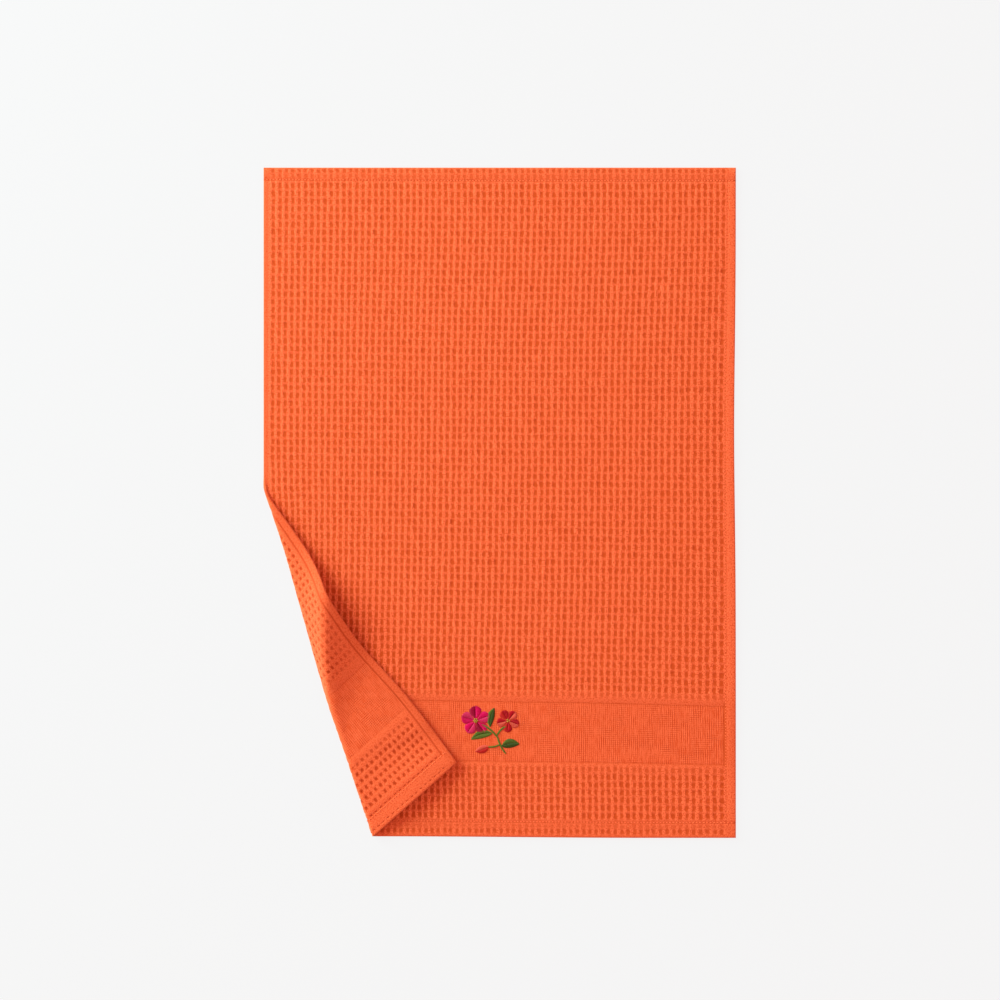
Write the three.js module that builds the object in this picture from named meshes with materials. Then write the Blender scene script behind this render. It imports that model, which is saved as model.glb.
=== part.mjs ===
// Kitchen towel of orange waffle cloth. It lies front side up, with its lower left corner turned over.
// One hemmed sheet is one solid. Millimetres: X across the width, Y along the length and Z up from the
// surface that the towel lies on, with the origin under the middle of the cloth.
import * as THREE from "three";

// Hemmed size of the cloth
const WIDTH = 496;
const LENGTH = 704;
const LEFT = -WIDTH / 2;
const RIGHT = WIDTH / 2;
const BOTTOM = -LENGTH / 2;
const TOP = LENGTH / 2;

// Hems, and the plain band across the lower end, measured from the bottom edge
const SIDE_HEM = 8;
const END_HEM = 15.5;
const BAND_LOW = 80;
const BAND_HIGH = 140;
const BORDER = 1.2; // width over which the cloth changes thickness beside a seam or the band

// Distance from the middle of the cloth to either face
const WAFFLE_HALF = 1.5;
const BAND_HALF = 0.9;
const SEAM_HALF = 0.9;

// Fold: a straight line from the left edge to the bottom edge, given by its distances from the corner
const FOLD_UP_LEFT_EDGE = 366.4;
const FOLD_ALONG_BOTTOM = 114.4;
const ROLL_RADIUS = 2.5; // of the middle of the cloth, which leaves 2 mm of air between the two layers
const FLAP_SHEAR = 0.135; // how far the turned corner slides up the fold for each millimetre away from it
const BULGE_FADE = 45; // how far the bulge of the fold line reaches into the cloth that lies flat

// Ridge in the turned corner, by its distance along the fold from the left edge. The fold bulges out by
// bulge. The flap climbs from the fold to a crest that is reach away and height above the layer beneath.
const RIDGE = [
  { along: -40, bulge: 0, reach: 10, height: 5 },
  { along: 0, bulge: 0, reach: 10, height: 5 },
  { along: 38, bulge: -0.9, reach: 16, height: 6.5 },
  { along: 73, bulge: -1.2, reach: 26, height: 9.5 },
  { along: 97, bulge: -0.6, reach: 29.5, height: 15.5 },
  { along: 115, bulge: 0, reach: 30, height: 23 },
  { along: 127, bulge: 0.3, reach: 28, height: 27 },
  { along: 139, bulge: 0.6, reach: 23.5, height: 27 },
  { along: 158, bulge: 1.1, reach: 18, height: 25 },
  { along: 183, bulge: 1.9, reach: 11.5, height: 21 },
  { along: 209, bulge: 2.5, reach: 6.5, height: 15.5 },
  { along: 238, bulge: 3.1, reach: 4.5, height: 9.5 },
  { along: 268, bulge: 2.3, reach: 4, height: 6 },
  { along: 300, bulge: 1.4, reach: 4, height: 5 },
  { along: 345, bulge: 0.5, reach: 4, height: 5 },
  { along: 384, bulge: 0, reach: 4, height: 5 },
  { along: 430, bulge: 0, reach: 4, height: 5 },
];
const FALL_SLOPE = 0.27; // of the far side of the ridge
const CREST_ROUNDING = 0.3; // share of the ridge's height that is rounded off at its crest
const FOOT_ROUNDING = 0.6; // and at its foot
// The crest runs nearly straight in the flat cloth between these two points, each given by its distance
// along the fold and past the axis of the roll
const CREST_FROM = [127, 39.5];
const CREST_TO = [238, 10.3];

// The bottom hem of the turned corner stands off the layer beneath, most of all halfway along
const HEM_LIFT = 4;
const HEM_LIFT_FADE = 42;
const HEM_LIFT_SPAN = 125;

// The outline is a little uneven: the right edge draws in near the middle and the bottom edge slants
const DRAW_IN = 1.7;
const DRAW_IN_AT = 76;
const DRAW_IN_SPREAD = 115;
const SLANT = 1.6;
const SLANT_FROM = -115;
const SLANT_TO = 160;

// Spacing of the facets
const FINE_STEP = 14; // where the turned corner lies
const END_STEP = 20; // below the plain band
const COARSE_STEP = 62; // on the flat cloth
const FINE_TO_X = -124;
const FINE_TO_Y = 24;
const ROLL_STEPS = 6;
const BEFORE_ROLL = -9; // the last line of the flat cloth before the roll
const FLAP_STEPS = [6, 14, 24, 38]; // lines past the roll
const CREST_STEPS = [-3, 0, 4.5]; // lines along the crest
const SNAP = 0.35; // a corner that lies this near a cut counts as on it
const SECTION_STEP = 1.5;
const SECTION_END = 150;
const NORMAL_REACH = 0.25; // to the neighbours that give the direction of the cloth's face

const CLOTH = new THREE.MeshStandardMaterial({ color: 0xf06436, roughness: 0.95, metalness: 0 });

// The fold's frame in plan: its direction from the left edge to the bottom edge, and the way back into
// the cloth
const foldStart = new THREE.Vector2(LEFT, BOTTOM + FOLD_UP_LEFT_EDGE);
const foldEnd = new THREE.Vector2(LEFT + FOLD_ALONG_BOTTOM, BOTTOM);
const foldDirection = foldEnd.clone().sub(foldStart).normalize();
const foldInward = new THREE.Vector2(-foldDirection.y, foldDirection.x);
const rollAxis = foldStart.clone().addScaledVector(foldInward, ROLL_RADIUS + WAFFLE_HALF);

// The lower or the higher of two values, rounded where they differ by less than k.
const smoothMin = (a, b, k) => {
  const near = Math.max(k - Math.abs(a - b), 0);
  return Math.min(a, b) - (k > 0 ? near ** 2 / (4 * k) : 0);
};
const smoothMax = (a, b, k) => -smoothMin(-a, -b, k);

// A column of the ridge's table at any distance along the fold: a cubic through its rows.
function ridgeValue(column, along) {
  const last = RIDGE.length - 3;
  let row = 1;
  while (row < last && RIDGE[row + 1].along < along) row += 1;
  const [before, from, to, after] = RIDGE.slice(row - 1, row + 3);
  const span = to.along - from.along;
  const t = THREE.MathUtils.clamp((along - from.along) / span, 0, 1);
  const slopeFrom = ((to[column] - before[column]) / (to.along - before.along)) * span;
  const slopeTo = ((after[column] - from[column]) / (after.along - from.along)) * span;
  const rise = to[column] - from[column];
  return (
    from[column] +
    t * slopeFrom +
    t * t * (3 * rise - 2 * slopeFrom - slopeTo) +
    t * t * t * (slopeFrom + slopeTo - 2 * rise)
  );
}

// Section across the fold: half a roll, then the climb to the crest and the fall behind it.
// Its points are [distance back from the roll's axis, height above the middle of the cloth beneath].
function foldSection(along) {
  const crest = ridgeValue("height", along) - 2 * ROLL_RADIUS;
  const reach = ridgeValue("reach", along);
  const ridge = (back) => {
    const climb = (crest * (back + ROLL_RADIUS)) / reach;
    const fall = smoothMax(0, crest - FALL_SLOPE * (back + ROLL_RADIUS - reach), FOOT_ROUNDING * crest);
    return smoothMin(climb, fall, CREST_ROUNDING * crest);
  };
  const points = [];
  for (let i = 0; i <= 2 * ROLL_STEPS; i += 1) {
    const turn = (i / (2 * ROLL_STEPS)) * Math.PI;
    const back = -ROLL_RADIUS * Math.sin(turn);
    points.push([back, ROLL_RADIUS * (1 - Math.cos(turn)) + (turn > Math.PI / 2 ? ridge(back) : 0)]);
  }
  for (let back = SECTION_STEP; back < SECTION_END; back += SECTION_STEP)
    points.push([back, 2 * ROLL_RADIUS + ridge(back)]);
  return points;
}

// The point of a section that lies a given length of cloth past its start.
function pointAlong(points, length) {
  let left = length;
  for (let i = 1; i < points.length; i += 1) {
    const [back, up] = points[i - 1];
    const step = [points[i][0] - back, points[i][1] - up];
    const size = Math.hypot(...step);
    const share = left / size;
    if (share <= 1 || i === points.length - 1) return [back + step[0] * share, up + step[1] * share];
    left -= size;
  }
  return points.at(-1);
}

// Where a point of the flat cloth lies once the corner is turned over: the middle of the cloth's thickness.
function lay(flatX, flatY) {
  const draw = DRAW_IN * Math.exp(-(((flatY - DRAW_IN_AT) / DRAW_IN_SPREAD) ** 2));
  const slant = SLANT * (1 - THREE.MathUtils.smoothstep(flatX, SLANT_FROM, SLANT_TO));
  const plan = new THREE.Vector2(
    flatX - (draw * (flatX - LEFT)) / WIDTH,
    flatY + slant * ((TOP - flatY) / LENGTH) ** 2,
  );
  const fromAxis = plan.clone().sub(rollAxis);
  const along = fromAxis.dot(foldDirection);
  const past = -fromAxis.dot(foldInward);
  const bulge = ridgeValue("bulge", along) * Math.exp(-((Math.min(past, 0) / BULGE_FADE) ** 2));
  let height = WAFFLE_HALF;
  if (past > 0) {
    const [back, up] = pointAlong(foldSection(along), past);
    const clear = Math.max(back, 0);
    const nearHem = Math.exp(-(((flatY - BOTTOM) / HEM_LIFT_FADE) ** 2));
    const lift = HEM_LIFT * nearHem * Math.sin((Math.PI * clear) / HEM_LIFT_SPAN);
    plan.copy(rollAxis);
    plan.addScaledVector(foldDirection, along - FLAP_SHEAR * clear);
    plan.addScaledVector(foldInward, back);
    height += up + lift;
  }
  plan.addScaledVector(foldInward, -bulge);
  return new THREE.Vector3(plan.x, plan.y, height);
}

// The cloth is thinner in the plain band, and the stitching dents it along the inner edge of each hem.
function halfThickness(flatX, flatY) {
  const fromSide = Math.min(flatX - LEFT, RIGHT - flatX);
  const fromEnd = Math.min(flatY - BOTTOM, TOP - flatY);
  const up = flatY - BOTTOM;
  const seam = (distance) => Math.max(1 - Math.abs(distance) / BORDER, 0);
  const hemmed = fromEnd < END_HEM || fromSide < SIDE_HEM;
  const dent = Math.max(
    fromEnd < END_HEM - BORDER ? 0 : seam(fromSide - SIDE_HEM),
    fromSide < SIDE_HEM - BORDER ? 0 : seam(fromEnd - END_HEM),
  );
  const inBand = THREE.MathUtils.clamp(Math.min(up - BAND_LOW, BAND_HIGH - up) / BORDER, 0, 1);
  const cloth = THREE.MathUtils.lerp(WAFFLE_HALF, BAND_HALF, hemmed ? 0 : inBand);
  return Math.min(cloth, THREE.MathUtils.lerp(WAFFLE_HALF, SEAM_HALF, dent));
}

// Evenly spaced values from one number to another, both included.
function spaced(from, to, step) {
  const count = Math.max(1, Math.round((to - from) / step));
  return Array.from({ length: count + 1 }, (_, i) => from + ((to - from) * i) / count);
}

// The three lines along a seam: its two borders and its stitching.
const seamLines = (at) => [at - BORDER, at, at + BORDER];

// Columns and rows that the flat cloth is divided into.
function columns() {
  const inner = LEFT + SIDE_HEM + BORDER;
  return [
    LEFT,
    ...seamLines(LEFT + SIDE_HEM),
    ...spaced(inner, FINE_TO_X, FINE_STEP).slice(1),
    ...spaced(FINE_TO_X, RIGHT - SIDE_HEM - BORDER, COARSE_STEP).slice(1, -1),
    ...seamLines(RIGHT - SIDE_HEM),
    RIGHT,
  ];
}

function rows() {
  const bandLow = BOTTOM + BAND_LOW;
  const bandHigh = BOTTOM + BAND_HIGH;
  return [
    BOTTOM,
    ...seamLines(BOTTOM + END_HEM),
    ...spaced(BOTTOM + END_HEM + BORDER, bandLow, END_STEP).slice(1),
    ...spaced(bandLow + BORDER, bandHigh - BORDER, END_STEP),
    ...spaced(bandHigh, FINE_TO_Y, FINE_STEP),
    ...spaced(FINE_TO_Y, TOP - END_HEM - BORDER, COARSE_STEP).slice(1, -1),
    ...seamLines(TOP - END_HEM),
    TOP,
  ];
}

// Lines across the flat cloth, each with a point on it and the direction in which it is crossed:
// along the roll, along the climb of the flap and along the crest.
function cutLines() {
  const roll = Math.PI * ROLL_RADIUS;
  const outward = foldInward.clone().negate();
  const flat = ([along, past]) =>
    rollAxis.clone().addScaledVector(foldDirection, along).addScaledVector(outward, past);
  const crest = flat(CREST_TO).sub(flat(CREST_FROM)).normalize();
  const offCrest = new THREE.Vector2(crest.y, -crest.x);
  const offRoll = [...spaced(0, roll, roll / ROLL_STEPS), ...FLAP_STEPS.map((step) => roll + step)];
  const fromCrest = (step) => flat(CREST_FROM).addScaledVector(offCrest, step);
  return [
    ...[BEFORE_ROLL, ...offRoll].map((past) => ({ point: flat([0, past]), across: outward })),
    ...CREST_STEPS.map((step) => ({ point: fromCrest(step), across: offCrest })),
  ];
}

// Divides a convex polygon of the flat cloth along a line.
function divide(polygon, line) {
  const sides = [[], []];
  const offset = (p) => {
    const d = p.clone().sub(line.point).dot(line.across);
    return Math.abs(d) < SNAP ? 0 : d;
  };
  polygon.forEach((point, i) => {
    const next = polygon[(i + 1) % polygon.length];
    const here = offset(point);
    const there = offset(next);
    if (here <= 0) sides[0].push(point);
    if (here >= 0) sides[1].push(point);
    if (here * there < 0) {
      const cut = point.clone().lerp(next, here / (here - there));
      sides[0].push(cut);
      sides[1].push(cut);
    }
  });
  const outside = (side, sign) => side.some((p) => sign * offset(p) > 0);
  return sides.filter((side, i) => side.length > 2 && outside(side, i ? 1 : -1));
}

// The flat cloth as convex polygons: a grid, divided again along the cut lines.
function flatPolygons() {
  const x = columns();
  const y = rows();
  let polygons = [];
  for (let i = 1; i < x.length; i += 1) {
    for (let j = 1; j < y.length; j += 1) {
      polygons.push([
        new THREE.Vector2(x[i - 1], y[j - 1]),
        new THREE.Vector2(x[i], y[j - 1]),
        new THREE.Vector2(x[i], y[j]),
        new THREE.Vector2(x[i - 1], y[j]),
      ]);
    }
  }
  for (const line of cutLines()) polygons = polygons.flatMap((polygon) => divide(polygon, line));
  return polygons;
}

// A convex polygon as triangles that meet in the corner nearest the others once the cloth is laid.
function fan(ids, laid) {
  const spread = ids.map((from) => ids.reduce((sum, to) => sum + laid[from].distanceTo(laid[to]), 0));
  const first = spread.indexOf(Math.min(...spread));
  const turned = [...ids.slice(first), ...ids.slice(0, first)];
  return turned.slice(2).map((id, i) => [turned[0], turned[i + 1], id]);
}

// The closed sheet: a front and a back face on either side of the laid cloth, joined along its outline.
function sheetGeometry() {
  const index = new Map();
  const corners = [];
  const cornerOf = (point) => {
    const key = `${point.x.toFixed(3)},${point.y.toFixed(3)}`;
    if (!index.has(key)) {
      index.set(key, corners.length);
      corners.push(point);
    }
    return index.get(key);
  };
  const outlines = flatPolygons().map((polygon) => [...new Set(polygon.map(cornerOf))]);
  const laid = corners.map(({ x, y }) => lay(x, y));
  const triangles = outlines.flatMap((ids) => fan(ids, laid));

  const faces = [[], []];
  corners.forEach(({ x, y }, i) => {
    const across = lay(x + NORMAL_REACH, y).sub(lay(x - NORMAL_REACH, y));
    const upward = lay(x, y + NORMAL_REACH).sub(lay(x, y - NORMAL_REACH));
    const normal = across.cross(upward).normalize();
    const half = halfThickness(x, y);
    faces[0].push(laid[i].clone().addScaledVector(normal, half));
    faces[1].push(laid[i].clone().addScaledVector(normal, -half));
  });

  const count = corners.length;
  const indices = [];
  const edges = new Map();
  for (const [a, b, c] of triangles) {
    indices.push(a, b, c, count + a, count + c, count + b);
    for (const [from, to] of [[a, b], [b, c], [c, a]]) {
      if (!edges.delete(`${to},${from}`)) edges.set(`${from},${to}`, [from, to]);
    }
  }
  for (const [from, to] of edges.values()) {
    indices.push(from, count + from, count + to, from, count + to, to);
  }

  const geometry = new THREE.BufferGeometry().setFromPoints([...faces[0], ...faces[1]]);
  geometry.setIndex(indices);
  geometry.computeVertexNormals();
  return geometry;
}

const towel = new THREE.Mesh(sheetGeometry(), CLOTH);
towel.name = "towel";

const part = new THREE.Group();
part.add(towel);
export default part;
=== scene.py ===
"""Looks of an orange waffle kitchen towel with one corner turned over.

The cloth is one closed sheet. Each of its faces is a grid of the weave's own lines: ribs and pits in the waffle,
plain cloth in the band and in the hems. The grid drifts a little, as woven cloth does, is laid in plan with its
corner folded over, and gets its relief along the normals of the laid cloth. The hems' stitches and the embroidered
sprig are threads that lie on that cloth. Sizes are in millimetres, as in the part's source, and MM turns them to
metres as a mesh is written.
"""

import logging
import math
from dataclasses import dataclass, field
from enum import Enum
from functools import partial

import bpy
import numpy as np
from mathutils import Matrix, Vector


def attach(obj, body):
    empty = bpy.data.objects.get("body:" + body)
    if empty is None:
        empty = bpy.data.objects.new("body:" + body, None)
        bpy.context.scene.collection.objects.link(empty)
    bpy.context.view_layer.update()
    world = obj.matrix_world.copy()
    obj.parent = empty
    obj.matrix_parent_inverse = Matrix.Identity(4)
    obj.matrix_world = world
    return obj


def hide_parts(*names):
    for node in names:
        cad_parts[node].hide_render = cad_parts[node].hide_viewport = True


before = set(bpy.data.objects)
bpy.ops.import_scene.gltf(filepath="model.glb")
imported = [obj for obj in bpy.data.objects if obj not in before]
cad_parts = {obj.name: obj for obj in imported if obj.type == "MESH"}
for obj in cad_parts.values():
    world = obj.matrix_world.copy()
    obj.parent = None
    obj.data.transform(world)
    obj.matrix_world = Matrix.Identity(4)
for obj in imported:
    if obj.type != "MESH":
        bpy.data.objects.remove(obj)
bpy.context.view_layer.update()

MM = 0.001
SEED = 11
LOG = logging.getLogger("towel")

# Length that counts as none, distance within which places are the same, and points along each thread
TINY = 1e-12
TOUCHING = 0.01
THREAD_POINTS = 5

# Hemmed size of the flat cloth, with its origin in the middle
WIDTH = 496.0
LENGTH = 704.0
LEFT, RIGHT = -WIDTH / 2, WIDTH / 2
BOTTOM, TOP = -LENGTH / 2, LENGTH / 2

# Distance from the middle of the cloth to its face
WAFFLE_HALF = 1.5
BAND_FRONT = 1.05

Pair = tuple[float, float]
Triple = tuple[float, float, float]
Table = tuple[tuple[float, ...], ...]


def linear(colour: str) -> tuple[float, float, float, float]:
    """Turn a colour to the linear values that shaders take.

    A value v from 0 to 1 becomes v / 12.92 up to 0.04045 and ((v + 0.055) / 1.055)^2.4 above, as sRGB has it.

    Args:
        colour: sRGB colour as a hex string, such as "#f06436".

    Returns:
        Linear red, green and blue, and an alpha of 1.
    """
    values = (int(colour[i : i + 2], 16) / 255 for i in (1, 3, 5))
    red, green, blue = (v / 12.92 if v <= 0.04045 else ((v + 0.055) / 1.055) ** 2.4 for v in values)
    return red, green, blue, 1.0


def smoothstep(value: np.ndarray, low: float, high: float) -> np.ndarray:
    """Rise from 0 at low to 1 at high along 3t^2 - 2t^3."""
    t = np.clip((value - low) / (high - low), 0.0, 1.0)
    return t * t * (3.0 - 2.0 * t)


def smooth_min(a: np.ndarray, b: np.ndarray, k: np.ndarray) -> np.ndarray:
    """Lower of two values, rounded where they differ by less than k: min - (k - |a - b|)^2 / 4k."""
    near = np.maximum(k - np.abs(a - b), 0.0)
    return np.minimum(a, b) - near**2 / (4.0 * np.maximum(k, TINY))


def unit(vectors: np.ndarray) -> np.ndarray:
    """Vectors scaled to length 1 along the last axis."""
    return vectors / np.maximum(np.linalg.norm(vectors, axis=-1, keepdims=True), TINY)


def read(table: Table, place: np.ndarray) -> np.ndarray:
    """Values at any places, along the straight lines between a table's pairs of place and value."""
    places, values = np.transpose(table)
    return np.interp(place, places, values)


def across_and_along(across: np.ndarray, along: np.ndarray) -> np.ndarray:
    """Every pair of a value across and a value along the cloth, as a grid with the pairs on its last axis."""
    return np.stack(np.meshgrid(across, along, indexing="ij"), axis=-1)


class Face(Enum):
    """The two faces of the cloth, with the side of its middle on which each lies."""

    FRONT = 1.0
    BACK = -1.0


@dataclass
class LaidCloth:
    """Where the flat cloth lies once its lower left corner is turned over to the front.

    The fold is a straight line in the flat cloth from up_left_edge on the left edge to along_bottom on the bottom
    edge, bulged a little. Past it the cloth rolls over with roll_radius and lies back on itself, with a soft ridge
    whose section changes along the fold.
    """

    up_left_edge: float = 366.4
    along_bottom: float = 114.4
    roll_radius: float = 2.5
    bulge_fade: float = 45.0

    # The turned cloth: shear along the fold, fall behind the crest, and shares of the crest that are rounded
    shear: float = 0.135
    fall_slope: float = 0.27
    crest_rounding: float = 0.3
    foot_rounding: float = 0.6

    # Lift of the turned end hem, how far along the cloth it fades, and how far back from the fold it goes
    hem_lift: float = 4.0
    hem_lift_fade: float = 42.0
    hem_lift_span: float = 125.0

    # How far the right edge is drawn in, and how far the lower end slants up on its left
    draw_in: float = 1.7
    draw_in_at: float = 76.0
    draw_in_spread: float = 115.0
    slant: float = 1.6
    slant_from: float = -115.0
    slant_to: float = 160.0

    # Tables of sections: start, end and step along the fold, of their own length and of the cloth past the roll
    row_range: Triple = (-60.0, 440.0, 1.5)
    step_range: Triple = (0.0, 190.0, 0.5)
    beyond_range: Triple = (1.5, 150.0, 1.5)
    roll_points: int = 13
    short_of_end: float = 1.001

    # The ridge: distance along the fold, bulge of the fold line, reach of the crest and height of the crest
    ridge: Table = (
        (-40, 0, 10, 5),
        (0, 0, 10, 5),
        (38, -0.9, 16, 6.5),
        (73, -1.2, 26, 9.5),
        (97, -0.6, 29.5, 15.5),
        (115, 0, 30, 23),
        (127, 0.3, 28, 27),
        (139, 0.6, 23.5, 27),
        (158, 1.1, 18, 25),
        (183, 1.9, 11.5, 21),
        (209, 2.5, 6.5, 15.5),
        (238, 3.1, 4.5, 9.5),
        (268, 2.3, 4, 6),
        (300, 1.4, 4, 5),
        (345, 0.5, 4, 5),
        (384, 0, 4, 5),
        (430, 0, 4, 5),
    )

    def __post_init__(self) -> None:
        """Work out the fold's frame in plan and its sections."""
        start = np.array([LEFT, BOTTOM + self.up_left_edge])
        end = np.array([LEFT + self.along_bottom, BOTTOM])
        self.direction = (end - start) / np.linalg.norm(end - start)
        self.inward = np.array([-self.direction[1], self.direction[0]])
        self.axis = start + self.inward * (self.roll_radius + WAFFLE_HALF)
        self.rows = np.arange(*self.row_range)
        self.steps = np.arange(*self.step_range)
        self.back, self.up = self._sections()

    def _ridge(self, column: int, along: np.ndarray) -> np.ndarray:
        """A column of the ridge's table at any distance along the fold.

        A cubic runs through the rows, whose slope at a row is the rise between its neighbours over their distance.

        Args:
            column: 1 for the bulge, 2 for the reach and 3 for the height.
            along: distances along the fold.

        Returns:
            The column's values there.
        """
        at, values = (np.array(self.ridge, float)[:, number] for number in (0, column))
        row = np.clip(np.searchsorted(at, along) - 1, 1, len(at) - 3)
        span = at[row + 1] - at[row]
        t = np.clip((along - at[row]) / span, 0.0, 1.0)
        start, finish = (
            (values[near + 1] - values[near - 1]) / (at[near + 1] - at[near - 1]) * span for near in (row, row + 1)
        )
        rise = values[row + 1] - values[row]
        return values[row] + t * start + t**2 * (3 * rise - 2 * start - finish) + t**3 * (start + finish - 2 * rise)

    def _sections(self) -> tuple[np.ndarray, np.ndarray]:
        """Sections across the fold, each resampled at equal steps of its own length.

        A section is half a roll, a climb of crest * (back + R) / reach, and behind the crest a fall at fall_slope,
        both rounded where they meet and at the foot.

        Returns:
            Distance back from the roll's axis and height above the cloth beneath, one row for each distance along
            the fold and one column for each step past the axis.
        """
        radius = self.roll_radius
        crest = self._ridge(3, self.rows)[:, None] - 2 * radius
        reach = self._ridge(2, self.rows)[:, None]
        turn = np.linspace(0.0, math.pi, self.roll_points)
        beyond = np.arange(*self.beyond_range)
        back = np.concatenate([-radius * np.sin(turn), beyond])[None, :]
        rolled = np.concatenate([radius * (1 - np.cos(turn)), np.full(beyond.size, 2 * radius)])[None, :]
        over = np.concatenate([turn > math.pi / 2, np.full(beyond.size, True)])[None, :]
        climb = crest * (back + radius) / reach
        drop = crest - self.fall_slope * (back + radius - reach)
        fall = -smooth_min(np.zeros_like(drop), -drop, self.foot_rounding * crest)
        up = rolled + np.where(over, smooth_min(climb, fall, self.crest_rounding * crest), 0.0)
        back = np.broadcast_to(back, up.shape)
        steps = np.hypot(np.diff(back, axis=1), np.diff(up, axis=1))
        length = np.concatenate([np.zeros((len(up), 1)), np.cumsum(steps, axis=1)], axis=1)
        return tuple(
            np.array([np.interp(self.steps, one, values) for one, values in zip(length, table)])
            for table in (back, up)
        )

    def _section_at(self, along: np.ndarray, past: np.ndarray) -> tuple[np.ndarray, np.ndarray]:
        """Look up the sections between their rows and columns.

        Args:
            along: distances along the fold.
            past: lengths of cloth past the roll's axis.

        Returns:
            Distance back from the roll's axis, and height above the cloth beneath.
        """
        row = (along - self.rows[0]) / (self.rows[1] - self.rows[0])
        row = np.clip(row, 0, len(self.rows) - self.short_of_end)
        column = np.clip(past / self.steps[1], 0, len(self.steps) - self.short_of_end)
        i, j = row.astype(int), column.astype(int)
        s, t = row - i, column - j
        return tuple(
            (1 - s) * ((1 - t) * table[i, j] + t * table[i, j + 1])
            + s * ((1 - t) * table[i + 1, j] + t * table[i + 1, j + 1])
            for table in (self.back, self.up)
        )

    def middle(self, x: np.ndarray, y: np.ndarray) -> np.ndarray:
        """Where points of the flat cloth lie, in the middle of its thickness.

        Args:
            x: places across the flat cloth.
            y: places along it.

        Returns:
            Points, with their three coordinates on the last axis.
        """
        draw = self.draw_in * np.exp(-(((y - self.draw_in_at) / self.draw_in_spread) ** 2))
        slant = self.slant * (1 - smoothstep(x, self.slant_from, self.slant_to))
        plan = np.stack([x - draw * (x - LEFT) / WIDTH, y + slant * ((TOP - y) / LENGTH) ** 2], axis=-1)
        along = (plan - self.axis) @ self.direction
        past = -(plan - self.axis) @ self.inward
        bulge = self._ridge(1, along) * np.exp(-((np.minimum(past, 0) / self.bulge_fade) ** 2))
        back, up = self._section_at(along, np.maximum(past, 0))
        clear = np.maximum(back, 0)
        lift = np.exp(-(((y - BOTTOM) / self.hem_lift_fade) ** 2)) * np.sin(math.pi * clear / self.hem_lift_span)
        turned = self.axis + self.direction * (along - self.shear * clear)[..., None]
        over = past > 0
        plan = np.where(over[..., None], turned + self.inward * back[..., None], plan)
        plan = plan - self.inward * bulge[..., None]
        height = WAFFLE_HALF + np.where(over, up + self.hem_lift * lift, 0.0)
        return np.concatenate([plan, height[..., None]], axis=-1)

    def on_roll(self, places: np.ndarray, margin: float) -> np.ndarray:
        """Whether places of the flat cloth lie on the half turn of the roll, or within a margin of it."""
        past = -(places - self.axis) @ self.inward
        return (past > -margin) & (past < math.pi * self.roll_radius + margin)

    def normal(self, x: np.ndarray, y: np.ndarray, reach: float = 0.6) -> np.ndarray:
        """Normals of the laid cloth on its front: the cross product of its steps across and along."""
        steps = (self.middle(x + a, y + b) - self.middle(x - a, y - b) for a, b in ((reach, 0), (0, reach)))
        return unit(np.cross(*steps))

    def place(self, x: np.ndarray, y: np.ndarray, height: np.ndarray) -> np.ndarray:
        """Lay points that stand off the middle of the flat cloth: its laid middle, and height along its normal."""
        return self.middle(x, y) + self.normal(x, y) * height[..., None]


@dataclass(frozen=True)
class Run:
    """A run of equal cells of the weave between two places, and the share of their full depth that hollows have."""

    start: float
    end: float
    count: int
    depth: float = 1.0


@dataclass(frozen=True)
class Cells:
    """The cells of one direction: their borders and middles, in order, and their share of the full depth."""

    low: np.ndarray
    middle: np.ndarray
    high: np.ndarray
    depth: np.ndarray

    @classmethod
    def of_runs(cls, runs: tuple[Run, ...]) -> "Cells":
        """Cells of several runs, with places rounded so that shared borders are equal.

        Args:
            runs: the runs, from the lowest up.

        Returns:
            The cells in order.
        """
        borders = [np.linspace(run.start, run.end, run.count + 1).round(3) for run in runs]
        low = np.concatenate([border[:-1] for border in borders])
        high = np.concatenate([border[1:] for border in borders])
        depth = np.concatenate([np.full(run.count, run.depth) for run in runs])
        return cls(low, ((low + high) / 2).round(3), high, depth)

    def between(self, extra: tuple[Run, ...] = ()) -> "Cells":
        """Cells of the other face, each round a border that two of these cells share.

        Args:
            extra: further cells of that face.

        Returns:
            The cells in order.
        """
        shared = self.high[:-1] == self.low[1:]
        between = [self.middle[:-1], self.high[:-1], self.middle[1:], np.minimum(self.depth[:-1], self.depth[1:])]
        between = [values[shared] for values in between]
        if extra:
            more = Cells.of_runs(extra)
            others = (more.low, more.middle, more.high, more.depth)
            between = [np.concatenate(pair) for pair in zip(between, others)]
        order = np.argsort(between[0])
        return Cells(*(values[order] for values in between))

    def share(self, place: np.ndarray) -> np.ndarray:
        """Share of the full depth at each place, which is that of its cell, or 0 where there is no cell."""
        cell = np.maximum(np.searchsorted(self.low, place, side="right") - 1, 0)
        return np.where((place >= self.low[cell]) & (place <= self.high[cell]), self.depth[cell], 0.0)

    def number(self, place: np.ndarray) -> np.ndarray:
        """Count of cells below each place, which grows evenly in either half of a cell and not between cells."""
        numbers = (np.arange(len(self.low))[:, None] + (0.0, 0.5, 1.0)).ravel()
        return np.interp(place, np.stack([self.low, self.middle, self.high], axis=1).ravel(), numbers)


@dataclass(frozen=True)
class Profile:
    """Distance from the middle of the cloth to one face on its ribs, read across and along the even weave.

    It turns down at the outline, dips or steps at the seams and is lower in the plain band, with a groove on each
    side of it.
    """

    across: Table
    along: Table


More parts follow.
